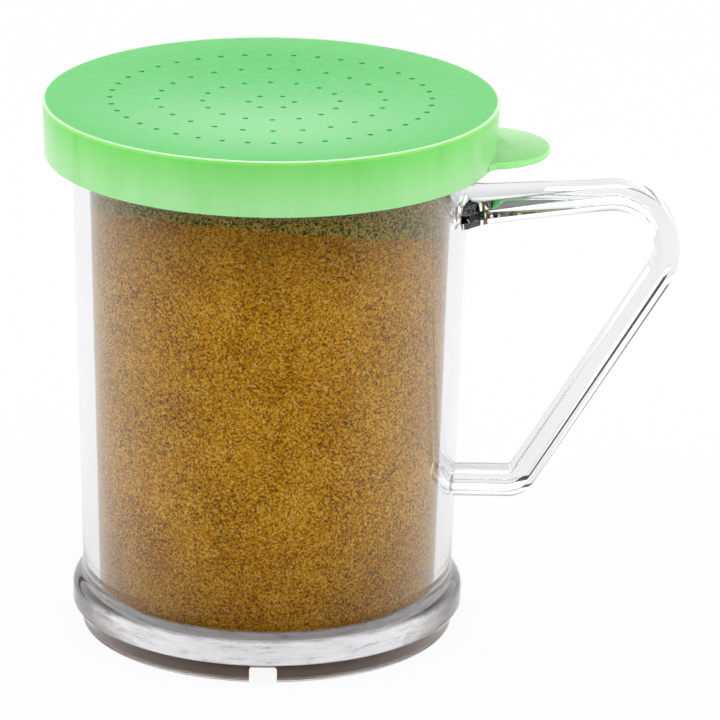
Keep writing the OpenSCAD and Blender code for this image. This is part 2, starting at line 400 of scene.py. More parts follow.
def cup_outline():
    """The cup's closed outline, from the foot up the outside and back down the inside."""
    points = arc(FOOT_R - 0.3, 0.3, 0.3, -90, 0, 4)
    points += arc(FOOT_R + 0.4, FOOT_HEIGHT - 0.4, 0.4, 180, 90, 4)
    points += arc(BEAD_R - 0.5, FOOT_HEIGHT + 0.5, 0.5, -90, 0, 6)
    for i in range(17):
        z = BEAD_TOP + BEAD_SLOPE * i / 16
        points.append((wall_r(z) + (BEAD_R - wall_r(BEAD_TOP)) * (1 + math.cos(math.pi * i / 16)) / 2, z))
    for i in range(9):
        a = math.radians(90 * i / 8)
        z = RIM_UNDER - RIM_BLEND * math.cos(a)
        points.append((wall_r(z) + (RIM_R - wall_r(RIM_UNDER)) * (1 - math.cos(a)), z))
    points += arc(RIM_R - RIM_ROUND, CUP_HEIGHT - RIM_ROUND, RIM_ROUND, 0, 90, 6)
    points += arc(inner_r(CUP_HEIGHT) + RIM_ROUND, CUP_HEIGHT - RIM_ROUND, RIM_ROUND, 90, 180, 6)
    corner_z = FLOOR_LEVEL + FLOOR_CORNER
    points += arc(inner_r(corner_z) - FLOOR_CORNER, corner_z, FLOOR_CORNER, 0, -90, 10)
    points += [(0, FLOOR_LEVEL), (0, FLOOR_UNDER)]
    points += arc(FOOT_INNER_R - 0.6, FLOOR_UNDER - 0.6, 0.6, 90, 0, 4)
    points += arc(FOOT_INNER_R + 0.3, 0.3, 0.3, 180, 270, 4)
    return points


cup = lathe("cup_shell", refine(cup_outline(), 2.0))
outward(cup)
print("cup:", len(cup.data.polygons), "faces")

# %% [markdown]
# ## The handle
# The handle is a flat bar with broad bevels along its edges, which draw fine lines in the clear
# plastic. Its middle line runs out along the upper arm, round a wide bend, down the leaning leg, round
# a tight bend and back to the wall. A sweep carries the bar's section along that line. At the top the
# bar widens into the wall, which spreads the load where the hand pulls hardest.

# %% Handle stations
HANDLE_WIDTH = 8.8
HANDLE_THICKNESS = 4.6
HANDLE_FACE = 1.7
HANDLE_BEVEL = 1.2
HANDLE_EDGE = 0.45
ROOT_WIDTH = 15.0
ROOT_LENGTH = 24.0
ROOT_FLARE = 4.0
FLARE_LENGTH = 4.2
ARM_RISE = math.radians(5.4)
LEG_LEAN = math.radians(31.6)
UPPER_BEND = 10.3
LOWER_BEND = 3.4
ARM_Z = CUP_HEIGHT - 18.9
ARM_X = wall_r(ARM_Z)
LOW_Z = 28.05
LOW_X = wall_r(LOW_Z) + 11.84
ROOT_BITE = 1.5


def handle_stations():
    """Stations along the middle line: x, z, heading, width of the bar."""
    arm = Vector((math.cos(ARM_RISE), math.sin(ARM_RISE)))
    leg = Vector((-math.sin(LEG_LEAN), -math.cos(LEG_LEAN)))
    leg_heading = -math.pi / 2 - LEG_LEAN
    slope, lean = math.tan(ARM_RISE), math.tan(LEG_LEAN)
    corner_z = (ARM_Z + (LOW_X - LOW_Z * lean - ARM_X) * slope) / (1 - lean * slope)
    corner = Vector((LOW_X + (corner_z - LOW_Z) * lean, corner_z))
    upper_setback = UPPER_BEND * math.tan((ARM_RISE - leg_heading) / 2)
    lower_setback = LOWER_BEND * math.tan((leg_heading + math.pi) / 2)
    root = Vector((ARM_X, ARM_Z))
    arm_end = corner - upper_setback * arm
    upper_centre = arm_end - UPPER_BEND * Vector((-math.sin(ARM_RISE), math.cos(ARM_RISE)))
    low_centre = Vector((LOW_X - lower_setback, LOW_Z + LOWER_BEND))
    stations = []
    for i in range(41):
        along = -ROOT_BITE + (ROOT_LENGTH + ROOT_BITE) * i / 40
        width = HANDLE_WIDTH + (ROOT_WIDTH - HANDLE_WIDTH) * min(1.0, 1 - along / ROOT_LENGTH)
        width += ROOT_FLARE * min(1.0, max(0.0, 1 - along / FLARE_LENGTH)) ** 2
        stations.append((root + along * arm, ARM_RISE, width))
    for i in range(33):
        heading = ARM_RISE + (leg_heading - ARM_RISE) * i / 32
        offset = UPPER_BEND * Vector((-math.sin(heading), math.cos(heading)))
        stations.append((upper_centre + offset, heading, HANDLE_WIDTH))
    for i in range(17):
        heading = leg_heading + (-math.pi - leg_heading) * i / 16
        offset = LOWER_BEND * Vector((-math.sin(heading), math.cos(heading)))
        stations.append((low_centre + offset, heading, HANDLE_WIDTH))
    stations.append((Vector((wall_r(LOW_Z) - ROOT_BITE, LOW_Z)), -math.pi, HANDLE_WIDTH))
    return stations


# %% Sweep the handle


def eased(corners, radius, steps=4):
    """A closed outline with each corner rounded by a radius."""
    points = []
    for i, corner in enumerate(corners):
        here = Vector(corner)
        before = (Vector(corners[i - 1]) - here).normalized()
        after = (Vector(corners[(i + 1) % len(corners)]) - here).normalized()
        half = before.angle(after) / 2
        centre = here + (before + after).normalized() * radius / math.sin(half)
        start = here + before * radius / math.tan(half) - centre
        end = here + after * radius / math.tan(half) - centre
        for k in range(steps + 1):
            way = start.lerp(end, k / steps).normalized() * radius
            points.append(tuple(centre + way))
    return points


def bar_section(width):
    """The bar's bevelled section: the first number points to the outside of the bends."""
    x, y = HANDLE_THICKNESS / 2, width / 2
    quarter = [(x, y - HANDLE_BEVEL), (HANDLE_FACE / 2, y)]
    upper = quarter + [(-px, py) for px, py in reversed(quarter)]
    return eased(upper + [(px, -py) for px, py in reversed(upper)], HANDLE_EDGE)


def sweep_handle():
    """Carries the section along the stations, and closes both ends."""
    verts, faces = [], []
    stations = handle_stations()
    for point, heading, width in stations:
        for out, across in bar_section(width):
            verts.append((point[0] - math.sin(heading) * out, across, point[1] + math.cos(heading) * out))
    n = len(verts) // len(stations)
    for k in range(len(stations) - 1):
        for i in range(n):
            j = (i + 1) % n
            faces.append([k * n + i, k * n + j, (k + 1) * n + j, (k + 1) * n + i])
    faces.append(list(range(n))[::-1])
    faces.append([len(verts) - n + i for i in range(n)])
    return new_object("handle_bar", verts, faces)


handle = sweep_handle()
outward(handle)
print("handle:", len(handle.data.polygons), "faces")

# %% [markdown]
# ## One clear piece
# Light only passes cleanly from the wall into the handle if the two are one piece of plastic, as they
# are after moulding. So the handle is joined to the cup with a boolean, and the drain notches in the
# foot ring are cut out with the same tool.

# %% Join the handle and cut the drain notches
NOTCH_WIDTH = 5.2
NOTCH_HEIGHT = 3.0
NOTCH_ROUND = 0.6


def notch_tool():
    """Two bars with rounded upper edges that cut the notches at the front and the back."""
    half = NOTCH_WIDTH / 2 - NOTCH_ROUND
    z = NOTCH_HEIGHT - NOTCH_ROUND
    section = [(NOTCH_WIDTH / 2, -1.0)] + arc(half, z, NOTCH_ROUND, 0, 90, 5)
    section += arc(-half, z, NOTCH_ROUND, 90, 180, 5) + [(-NOTCH_WIDTH / 2, -1.0)]
    n = len(section)
    verts, faces = [], []
    for side in (-1, 1):
        start = len(verts)
        for y in (FOOT_INNER_R - 1, BEAD_R + 1):
            verts += [(x, side * y, z) for x, z in section]
        for i in range(n):
            j = (i + 1) % n
            faces.append([start + i, start + j, start + n + j, start + n + i])
        faces.append([start + i for i in range(n)])
        faces.append([start + n + i for i in range(n)])
    return new_object("notch_tool", verts, faces)


notches = notch_tool()
outward(notches)
carve(cup, handle, "UNION")
carve(cup, notches, "DIFFERENCE")
cup.name = "clear_cup_and_handle"
smooth(cup, 35)
cup.data.materials.clear()
cup.data.materials.append(CLEAR)
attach(cup, "cup")
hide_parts("cup", "handle")
print("clear piece:", len(cup.data.polygons), "faces")

# %% [markdown]
# ## Ground spice
# The spice is dry powder milled from seeds. Its ochre ground colour is broken by dark specks of husk
# and by pale curved threads of fibre. Powder is matt: its roughness is 1 and it has almost no shine.
# Two patterns carry the grain at its real size, a Voronoi pattern for the single grains and a warped
# noise for the threads. A broad noise makes clouds of tone, because powder packs unevenly. The colour
# is darkened towards the floor and near the top under the lid, which is painted shade.

# %% Ground spice material
GRAIN = 0.27
THREAD = 0.42
CLOUD = 11.0


def ground_spice(name, stops, depth):
    material, output = new_material(name)
    place = add(material, "ShaderNodeTexCoord").outputs["Object"]
    grains = add(material, "ShaderNodeTexVoronoi", {"Vector": place}, {"Scale": per_metre(GRAIN)})
    shade = add(material, "ShaderNodeSeparateColor", {"Color": grains.outputs["Color"]})
    threads = add(
        material,
        "ShaderNodeTexNoise",
        {"Vector": place},
        {"Scale": per_metre(THREAD), "Detail": 4.0, "Roughness": 0.7, "Distortion": 0.5},
    )
    cloud = add(
        material, "ShaderNodeTexNoise", {"Vector": place}, {"Scale": per_metre(CLOUD), "Detail": 3.0}
    )
    fine = add(
        material,
        "ShaderNodeMapRange",
        {"Value": shade.outputs[0]},
        {"To Min": -0.08, "To Max": 0.08},
    )
    drift = add(
        material,
        "ShaderNodeMapRange",
        {"Value": cloud.outputs["Fac"]},
        {"From Min": 0.3, "From Max": 0.7, "To Min": -0.035, "To Max": 0.035},
    )
    grain = add(
        material, "ShaderNodeMath", {0: threads.outputs["Fac"], 1: fine.outputs["Result"]}, operation="ADD"
    )
    total = add(
        material, "ShaderNodeMath", {0: grain.outputs[0], 1: drift.outputs["Result"]}, operation="ADD"
    )
    colour = add(material, "ShaderNodeValToRGB", {"Fac": total.outputs[0]}, stops=stops)
    # Painted shade: the colour is multiplied darker towards the floor and near the top, under the lid.
    height = add(material, "ShaderNodeSeparateXYZ", {"Vector": place})
    climb = add(
        material, "ShaderNodeMapRange", {"Value": height.outputs["Z"]}, {"From Min": 0.0, "From Max": 0.1}
    )
    height_shade = add(material, "ShaderNodeValToRGB", {"Fac": climb.outputs["Result"]}, stops=depth)
    deep = add(
        material,
        "ShaderNodeMix",
        {6: colour.outputs["Color"], 7: height_shade.outputs["Color"]},
        {"Factor": 1.0},
        data_type="RGBA",
        blend_type="MULTIPLY",
    )
    bump = add(
        material,
        "ShaderNodeBump",
        {"Height": grains.outputs["Distance"]},
        {"Strength": 0.35, "Distance": 0.12 * MM},
    )
    shader = add(
        material,
        "ShaderNodeBsdfPrincipled",
        {"Base Color": deep.outputs[2], "Normal": bump.outputs["Normal"]},
        {
            "Roughness": 1.0,
            "Specular IOR Level": 0.0,
            "Sheen Weight": 0.8,
            "Sheen Roughness": 0.45,
            "Sheen Tint": (1.0, 0.75, 0.35, 1.0),
        },
    )
    return finish_surface(material, output, shader)


# Painted shade by height, from the floor up: darker low down, plain in the middle, darker near the top under
# the lid.
SHADE_BY_HEIGHT = [(0.0, "#B4A898"), (0.1, "#D2C8BC"), (0.3, "#FFFFFF")]
SHADE_BY_HEIGHT += [(0.72, "#FFFFFF"), (0.86, "#D8D0C0"), (1.0, "#D8D0C0")]
SPICE = ground_spice(
    "ground_spice_dry",
    [(0.31, "#402700"), (0.42, "#A26800"), (0.5, "#E59C00"), (0.58, "#FFB90C"), (0.66, "#FFE05C")],
    SHADE_BY_HEIGHT,
)
SLIVERS = ground_spice(
    "ground_spice_fibre", [(0.25, "#FCC838"), (0.5, "#FFE068"), (0.75, "#FFF4A8")], SHADE_BY_HEIGHT
)
HUSKS = ground_spice("ground_spice_husk", [(0.25, "#1C0E00"), (0.5, "#462A00"), (0.75, "#7A5204")], SHADE_BY_HEIGHT)
# Dust colours: the dark olive is painted shade with green light from the lid in it.
DUST_IN_GREEN_SHADE = ground_spice(
    "ground_spice_dust_in_green_shade",
    [(0.36, "#0E0E00"), (0.45, "#504C00"), (0.52, "#A09808"), (0.58, "#E6D84C"), (0.66, "#FFF8A8")],
    SHADE_BY_HEIGHT,
)
print("materials:", SPICE.name, SLIVERS.name, HUSKS.name, DUST_IN_GREEN_SHADE.name)

# %% [markdown]
# ## The spice in the cup
# The powder takes the shape of the inside of the cup, a hair away from the wall. Its top slopes,
# because the shaker was filled and set down without levelling, and it is lumpy. The mesh is built
# column by column: each column climbs the wall to the height of the slope there, and then runs in to
# the axis over the heaped top.

# %% Spice mesh
SPICE_GAP = 0.12
FILL_LEVEL = CUP_HEIGHT - 22.0
FILL_TILT = math.tan(math.radians(15.4))
FILL_SIDE = math.radians(-106.5)
FILL_EDGE = 85.0
PLUG_BOTTOM = CUP_HEIGHT - 5
SIDE_ROWS = 60
TOP_ROWS = 40


def fill_height(x, y):
    """Height of the spice's sloping, slightly lumpy surface."""
    slope = (x * math.cos(FILL_SIDE) + y * math.sin(FILL_SIDE)) * FILL_TILT
    lumps = noise.noise(Vector((x, y, 3.0)) / 6.0) * 0.35 + noise.noise(Vector((x, y, 9.0)) / 1.6) * 0.12
    return FILL_LEVEL + slope + lumps


def spice_mesh():
    """Columns of points from the floor's middle up the wall and back in over the top."""
    corner_z = FLOOR_LEVEL + FLOOR_CORNER
    corner = arc(inner_r(corner_z) - SPICE_GAP - FLOOR_CORNER, corner_z, FLOOR_CORNER, -90, 0, 8)
    verts = [(0, 0, FLOOR_LEVEL + 0.02)]
    columns = []
    for i in range(ROUND_STEPS):
        a = 2 * math.pi * i / ROUND_STEPS
        c, s = math.cos(a), math.sin(a)
        top_r = inner_r(FILL_EDGE) - SPICE_GAP
        top_z = fill_height(top_r * c, top_r * s)
        column = [(r, z + 0.02) for r, z in corner]
        for k in range(1, SIDE_ROWS + 1):
            z = corner_z + (top_z - corner_z) * k / SIDE_ROWS
            column.append((inner_r(z) - SPICE_GAP, z))
        edge_r = column[-1][0]
        for k in range(1, TOP_ROWS):
            r = edge_r * (1 - k / TOP_ROWS)
            column.append((r, fill_height(r * c, r * s)))
        columns.append(range(len(verts), len(verts) + len(column)))
        verts += [(r * c, r * s, z) for r, z in column]
    verts.append((0, 0, fill_height(0, 0)))
    faces = []
    for here, beside in zip(columns, columns[1:] + columns[:1]):
        faces.append([0, beside[0], here[0]])
        for k in range(len(here) - 1):
            faces.append([here[k], beside[k], beside[k + 1], here[k + 1]])
        faces.append([here[-1], beside[-1], len(verts) - 1])
    return new_object("spice_powder", verts, faces)


spice = spice_mesh()
outward(spice)
smooth(spice, 40)
spice.data.materials.append(SPICE)
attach(spice, "cup")
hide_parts("spice_fill")
print("spice:", len(spice.data.polygons), "faces")

# %% [markdown]
# ## Single grains against the wall
# A pattern alone looks printed. What the eye picks out in real powder are the single bits that lie
# flat against the clear wall: pale slivers of fibre, dark bits of husk, and above the powder a film of
# dust that was left when it was poured. The dust's dark olive colour is painted shade with green light
# from the lid in it. Each bit is a small closed flake of four faces, with its own size and direction,
# and a thin closed shell behind the dust is the film itself. A seeded random generator scatters them,
# so that every run gives the same powder.

# %% Scatter the grains
SCATTER = random.Random(7)
FLAKE_FACES = [(0, 1, 2), (0, 2, 3), (0, 3, 1), (1, 3, 2)]
FLAKE_HALF = 0.015


def flake(verts, faces, angle, z, depth, length, width):
    """Adds a thin closed bit of four faces that lies against the wall at an angle and a height."""
    radius = inner_r(z) - depth
    turn = SCATTER.uniform(0, math.pi)
    bend = SCATTER.uniform(-0.1, 0.1) * length
    start = len(verts)
    ends = [(-length / 2, 0, 1), (0, bend - width / 2, -1)]
    for u, v, out in ends + [(length / 2, 0, 1), (0, bend + width / 2, -1)]:
        along = u * math.cos(turn) - v * math.sin(turn)
        up = u * math.sin(turn) + v * math.cos(turn)
        a = angle + along / radius
        r = radius + out * FLAKE_HALF
        verts.append((r * math.cos(a), r * math.sin(a), z + up))
    faces += [[start + i for i in face] for face in FLAKE_FACES]


def scattered(name, count, place, size, material):
    """A mesh of flakes: place gives angle, height and depth, size gives length and width."""
    verts, faces = [], []
    while len(faces) < count * len(FLAKE_FACES):
        spot = place()
        if spot:
            flake(verts, faces, *spot, *size())
    obj = new_object(name, verts, faces)
    obj.data.materials.append(material)
    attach(obj, "cup")
    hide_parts("spice_fill")


def wall_line(angle):
    """Height at which the powder meets the wall."""
    r = inner_r(FILL_EDGE)
    return fill_height(r * math.cos(angle), r * math.sin(angle))


def in_powder():
    angle = SCATTER.uniform(0, 2 * math.pi)
    z = SCATTER.uniform(FLOOR_LEVEL + 0.6, wall_line(angle) + 0.5)
    return angle, z, SCATTER.uniform(0.07, 0.11)


FILM_HEIGHT = 13.0


def in_film():
    """Dust above the powder: thick up to the top of the film, thin and patchy higher up."""
    angle = SCATTER.uniform(0, 2 * math.pi)
    line = wall_line(angle)
    z = SCATTER.uniform(line - 0.8, PLUG_BOTTOM - 0.3)
    patch = noise.noise(Vector((math.cos(angle), math.sin(angle), z / 60.0)) * 9.0)
    keep = 0.85 if z < line + FILM_HEIGHT else 0.5 * math.exp((line + FILM_HEIGHT - z) / 3.0)
    keep += 0.3 * patch
    return (angle, z, SCATTER.uniform(0.03, 0.09)) if SCATTER.random() < keep else None


def sliver_size():
    return SCATTER.uniform(0.35, 1.25), SCATTER.uniform(0.13, 0.21)


def husk_size():
    return SCATTER.uniform(0.25, 0.6), SCATTER.uniform(0.14, 0.28)


def dust_size():
    return SCATTER.uniform(0.35, 0.9), SCATTER.uniform(0.2, 0.36)


def film_sheet():
    """The dust film itself, with a jagged foot where it runs out over the powder."""
    rows, steps = 24, 720
    verts, faces = [], []
    for i in range(steps):
        a = 2 * math.pi * i / steps
        foot = wall_line(a) - 0.4 + 1.1 * noise.noise(Vector((math.cos(a), math.sin(a), 0.0)) * 26.0)
        top = foot + FILM_HEIGHT + 1.6 * noise.noise(Vector((math.cos(a), math.sin(a), 0.5)) * 14.0)
        top = min(top, PLUG_BOTTOM - 0.2)
        up = [foot + (top - foot) * j / rows for j in range(rows + 1)]
        loop = [(inner_r(z) - 0.11 + 0.02 * SCATTER.random(), z) for z in up]
        loop += [(inner_r(z) - 0.2, z) for z in reversed(up)]
        verts += [(r * math.cos(a), r * math.sin(a), z) for r, z in loop]
    size = 2 * (rows + 1)
    for i in range(steps):
        here, there = i * size, (i + 1) % steps * size
        for j in range(size):
            k = (j + 1) % size
            faces.append([here + j, there + j, there + k, here + k])
    obj = new_object("spice_dust_sheet", verts, faces)
    # Painted shade: the dust's dark olive colour stands for shade and green light from the lid.
    obj.data.materials.append(DUST_IN_GREEN_SHADE)
    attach(obj, "cup")
    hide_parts("spice_fill")


film_sheet()
scattered("spice_slivers", 9500, in_powder, sliver_size, SLIVERS)
scattered("spice_husks", 6500, in_powder, husk_size, HUSKS)
scattered("spice_dust_film", 9000, in_film, dust_size, DUST_IN_GREEN_SHADE)
scattered("spice_dust_slivers", 7200, in_film, sliver_size, SLIVERS)

# %% [markdown]
# ## Green polyethylene
# The lid is moulded in green polyethylene. It is soft and slightly milky: light enters it and comes
# out again nearby, so a little subsurface scattering is mixed in, and its satin surface whitens at
# grazing angles. Faint flow lines from the mould and fine scuffs on top vary the gloss. The plate is
# a purer green than the skirt, and its paler middle is a painted reflection. The skirt is paler lower
# down. A brighter yellow-green band on the rounded top edge, with a pale line along it, is a painted
# highlight.

# %% Green polyethylene material
POLYETHYLENE_IOR = 1.51
# Painted reflection: the plate's middle tones are paler than its rim's.
REFLECTED_MIDDLE_GREENS = [(0.3, "#60D86E"), (0.5, "#68DE76"), (0.68, "#70E27E"), (0.78, "#A0EEAA")]
RIM_GREENS = [(0.3, "#42D250"), (0.5, "#48D856"), (0.68, "#50DC5E"), (0.78, "#8CE898")]
UPPER_GREENS = [(0.28, "#68CE54"), (0.42, "#72D65E"), (0.7, "#7ADA66")]
LOWER_GREENS = [(0.28, "#94D888"), (0.42, "#9CDF92"), (0.7, "#A2E29A")]
# Painted highlight: a brighter yellow-green for the rounded top edge.
EDGE_LIGHT_GREENS = [(0.3, "#82E060"), (0.7, "#8CE66A")]
TAB_GREENS = [(0.3, "#98E88A"), (0.7, "#AAEE9E")]
# Painted highlight: a pale line along the lid's top edge.
HIGHLIGHT_GREEN = "#DCF8D4"
MIDDLE_ENDS, RIM_STARTS = 12.0, 40.0
PLATE_ENDS, SKIRT_STARTS = 41.95, 42.15
SKIRT_ENDS, TAB_STARTS = 42.6, 44.5
UPPER_ENDS, LOWER_STARTS = LID_TOP - 1.0, SKIRT_BOTTOM + 2.0
EDGE_STARTS, EDGE_FULL = LID_TOP - 0.85, LID_TOP - 0.5
# Heights of the painted highlight line on the top edge.
PALE_STARTS, PALE_FULL = LID_TOP - 0.3, LID_TOP - 0.12


def green_polyethylene():
    material, output = new_material("green_polyethylene_satin")
    place = add(material, "ShaderNodeTexCoord").outputs["Object"]
    height = add(material, "ShaderNodeSeparateXYZ", {"Vector": place}).outputs["Z"]
    flat = add(material, "ShaderNodeVectorMath", {0: place}, {1: (1.0, 1.0, 0.0)}, operation="MULTIPLY")
    reach = add(
        material, "ShaderNodeVectorMath", {0: flat.outputs["Vector"]}, operation="LENGTH"
    ).outputs["Value"]
    scuffs = add(
        material,
        "ShaderNodeTexNoise",
        {"Vector": place},
        {"Scale": per_metre(1.5), "Detail": 6.0, "Roughness": 0.65, "Distortion": 0.8},
    ).outputs["Fac"]
    tall = add(material, "ShaderNodeMapping", {"Vector": place}, {"Scale": (1.0, 1.0, 0.16)})
    flow = add(
        material,
        "ShaderNodeTexNoise",
        {"Vector": tall.outputs["Vector"]},
        {"Scale": per_metre(4.5), "Detail": 3.0},
    ).outputs["Fac"]
    tones = [(scuffs, REFLECTED_MIDDLE_GREENS), (scuffs, RIM_GREENS), (flow, UPPER_GREENS)]
    tones += [(flow, LOWER_GREENS), (flow, EDGE_LIGHT_GREENS), (scuffs, TAB_GREENS)]
    middle, rim, upper, lower, edge, tongue = [
        add(material, "ShaderNodeValToRGB", {"Fac": source}, stops=stops).outputs["Color"]
        for source, stops in tones
    ]
    zones = [(reach, MIDDLE_ENDS, RIM_STARTS), (reach, PLATE_ENDS, SKIRT_STARTS)]
    zones += [(reach, SKIRT_ENDS, TAB_STARTS), (height, UPPER_ENDS, LOWER_STARTS)]
    zones += [(height, EDGE_STARTS, EDGE_FULL), (height, PALE_STARTS, PALE_FULL)]
    spread, outside, beyond, down, corner, edge_highlight = [
        add(
            material, "ShaderNodeMapRange", {"Value": value}, {"From Min": start * MM, "From Max": end * MM}
        ).outputs["Result"]
        for value, start, end in zones
    ]
    # Painted reflection: the plate turns paler towards its middle.
    plate = add(
        material, "ShaderNodeMix", {"Factor": spread, 6: middle, 7: rim}, data_type="RGBA"
    ).outputs[2]
    wall = add(
        material, "ShaderNodeMix", {"Factor": down, 6: upper, 7: lower}, data_type="RGBA"
    ).outputs[2]
    # Painted highlight: the skirt's top turns brighter yellow-green at the rounded edge.
    skirt = add(
        material, "ShaderNodeMix", {"Factor": corner, 6: wall, 7: edge}, data_type="RGBA"
    ).outputs[2]
    # Painted highlight: the pale line is mixed in near the top of the edge.
    pale = add(
        material, "ShaderNodeMix", {"Factor": edge_highlight, 6: skirt}, {7: hex_colour(HIGHLIGHT_GREEN)}, data_type="RGBA"
    ).outputs[2]
    body = add(
        material, "ShaderNodeMix", {"Factor": outside, 6: plate, 7: pale}, data_type="RGBA"
    ).outputs[2]
    colour = add(
        material, "ShaderNodeMix", {"Factor": beyond, 6: body, 7: tongue}, data_type="RGBA"
    ).outputs[2]
    gloss = add(
        material,
        "ShaderNodeMapRange",
        {"Value": scuffs},
        {"From Min": 0.4, "From Max": 0.7, "To Min": 0.12, "To Max": 0.26},
    )
    bump = add(material, "ShaderNodeBump", {"Height": scuffs}, {"Strength": 0.03, "Distance": 0.08 * MM})
    shader = add(
        material,
        "ShaderNodeBsdfPrincipled",
        {"Base Color": colour, "Roughness": gloss.outputs["Result"], "Normal": bump.outputs["Normal"]},
        {
            "IOR": POLYETHYLENE_IOR,
            "Subsurface Weight": 0.3,
            "Subsurface Radius": (0.6, 1.0, 0.6),
            "Subsurface Scale": 1.4 * MM,
        },
    )
    return finish_surface(material, output, shader)


GREEN = green_polyethylene()
print("material:", GREEN.name)

# %% [markdown]
# ## The lid
# The lid's outline is spun like the cup's: a plate with a shallow dish, a crisp top edge, a skirt with
# a catch bead inside its lower edge, and a sealing ring that dips into the cup. The pull tab is a round
# tongue with a soft blend on both sides. The pouring holes are cut last, in four rings.

# %% Lid outline
DISH_RADIUS = 31.0
DISH_DEPTH = 1.0
PLATE = LID_TOP - CUP_HEIGHT
SKIRT_INNER_R = RIM_R + 0.3
LID_R = SKIRT_INNER_R + 1.8
SKIRT_TAPER = 0.3
LID_EDGE = 0.4
PLUG_R = inner_r(PLUG_BOTTOM) - 0.15
LID_TURN = math.radians(2.0)


def dish(r):
    """How far the plate dips at a distance from the axis."""
    return 0.0 if r >= DISH_RADIUS else -DISH_DEPTH * (1 - (r / DISH_RADIUS) ** 2)


def lid_outline():
    """The lid's closed outline, from the middle of the top out, down the skirt and back."""
    reach = [DISH_RADIUS * i / 20 for i in range(21)]
    brim = LID_R - 1.0
    soft = [brim * i / 40 for i in range(41)]
    points = [(r, LID_TOP - DISH_DEPTH * math.cos(math.pi / 2 * r / brim) ** 2) for r in soft]
    points += arc(LID_R - LID_EDGE, LID_TOP - LID_EDGE, LID_EDGE, 90, 0, 6)
    low = LID_R - SKIRT_TAPER
    points += arc(low - 0.4, SKIRT_BOTTOM + 0.4, 0.4, 0, -90, 5)
    points += [(RIM_R + 0.6, SKIRT_BOTTOM), (RIM_R + 0.1, SKIRT_BOTTOM + 0.4)]
    points += [(RIM_R + 0.1, SKIRT_BOTTOM + 1.0), (SKIRT_INNER_R, SKIRT_BOTTOM + 1.3)]
    points += [(SKIRT_INNER_R, CUP_HEIGHT), (PLUG_R, CUP_HEIGHT)]
    points += [(PLUG_R, PLUG_BOTTOM + 0.5), (PLUG_R - 0.5, PLUG_BOTTOM), (PLUG_R - 1.4, PLUG_BOTTOM)]
    points += [(PLUG_R - 1.4, CUP_HEIGHT)]
    points += [(r, CUP_HEIGHT + dish(r)) for r in reversed(reach)]
    return points


lid = lathe("lid_shell", refine(lid_outline(), 4.0))
outward(lid)
print("lid:", len(lid.data.polygons), "faces")

# %% Pull tab
TAB_RADIUS = 12.5
TAB_BLEND = 3.0
TAB_THICKNESS = 1.3
TAB_BOTTOM = SKIRT_BOTTOM + 0.3
TAB_CENTRE = LID_R + 9.7 - TAB_RADIUS
TAB_EDGE = 0.45


def tab_outline(inset):
    """The tab's outline, with a blend where each side meets the skirt, drawn in by an inset."""
    blend, radius = TAB_BLEND + inset, TAB_RADIUS - inset
    reach, skirt = radius + blend, LID_R + TAB_BLEND
    x = (skirt**2 - reach**2 + TAB_CENTRE**2) / (2 * TAB_CENTRE)
    y = math.sqrt(skirt**2 - x**2)
    tab_angle = math.degrees(math.atan2(y, x - TAB_CENTRE))
    skirt_angle = math.degrees(math.atan2(y, x))
    side = arc(TAB_CENTRE, 0, radius, 0, tab_angle, 24)
    side += arc(x, y, blend, tab_angle - 180, skirt_angle - 180, 10)[1:]
    anchor = SKIRT_INNER_R + 0.6
    turn = math.radians(skirt_angle)
    side.append((anchor * math.cos(turn), anchor * math.sin(turn)))
    return side + [(px, -py) for px, py in reversed(side[1:])]


def tab_mesh():
    """Stacks the outline in layers whose inset follows a rounded edge."""
    layers = []
    for i in range(6):
        a = math.radians(90 * i / 5)
        layers.append((TAB_EDGE * (1 - math.sin(a)), TAB_BOTTOM + TAB_EDGE * (1 - math.cos(a))))
    layers += [(inset, 2 * TAB_BOTTOM + TAB_THICKNESS - z) for inset, z in reversed(layers)]
    verts, faces = [], []
    for inset, z in layers:
        ring = tab_outline(inset)
        verts += [(x, y, z) for x, y in ring]
    n = len(verts) // len(layers)
    for k in range(len(layers) - 1):
        for i in range(n):
            j = (i + 1) % n
            faces.append([k * n + i, k * n + j, (k + 1) * n + j, (k + 1) * n + i])
    faces.append(list(range(n))[::-1])
    faces.append([len(verts) - n + i for i in range(n)])
    return new_object("lid_tab", verts, faces)


tab = tab_mesh()
outward(tab)
carve(lid, tab, "UNION")
print("lid with tab:", len(lid.data.polygons), "faces")

# %% Pouring holes
HOLE_RINGS = [(4.25, 6), (12.8, 16), (21.2, 24), (30.0, 40)]
HOLE_DIAMETER = 1.2
HOLE_SIDES = 16


def hole_tool():
    """One peg for each hole in every ring."""
    verts, faces = [], []
    n = HOLE_SIDES
    for ring, count in HOLE_RINGS:
        for i in range(count):
            a = 2 * math.pi * i / count
            peg = arc(ring * math.cos(a), ring * math.sin(a), HOLE_DIAMETER / 2, 0, 360 - 360 / n, n - 1)
            start = len(verts)
            for z in (CUP_HEIGHT - DISH_DEPTH - 1, LID_TOP + 1):
                verts += [(x, y, z) for x, y in peg]
            faces.append([start + k for k in range(n)][::-1])
            faces.append([start + n + k for k in range(n)])
            for k in range(n):
                j = (k + 1) % n
                faces.append([start + k, start + j, start + n + j, start + n + k])
    return new_object("hole_tool", verts, faces)


carve(lid, hole_tool(), "DIFFERENCE")
lid.data.transform(Matrix.Rotation(LID_TURN, 4, "Z"))
lid.name = "green_lid"
smooth(lid, 35)
lid.data.materials.clear()
lid.data.materials.append(GREEN)
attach(lid, "lid")
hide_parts("lid")
print("lid with", sum(count for ring, count in HOLE_RINGS), "holes:", len(lid.data.polygons), "faces")

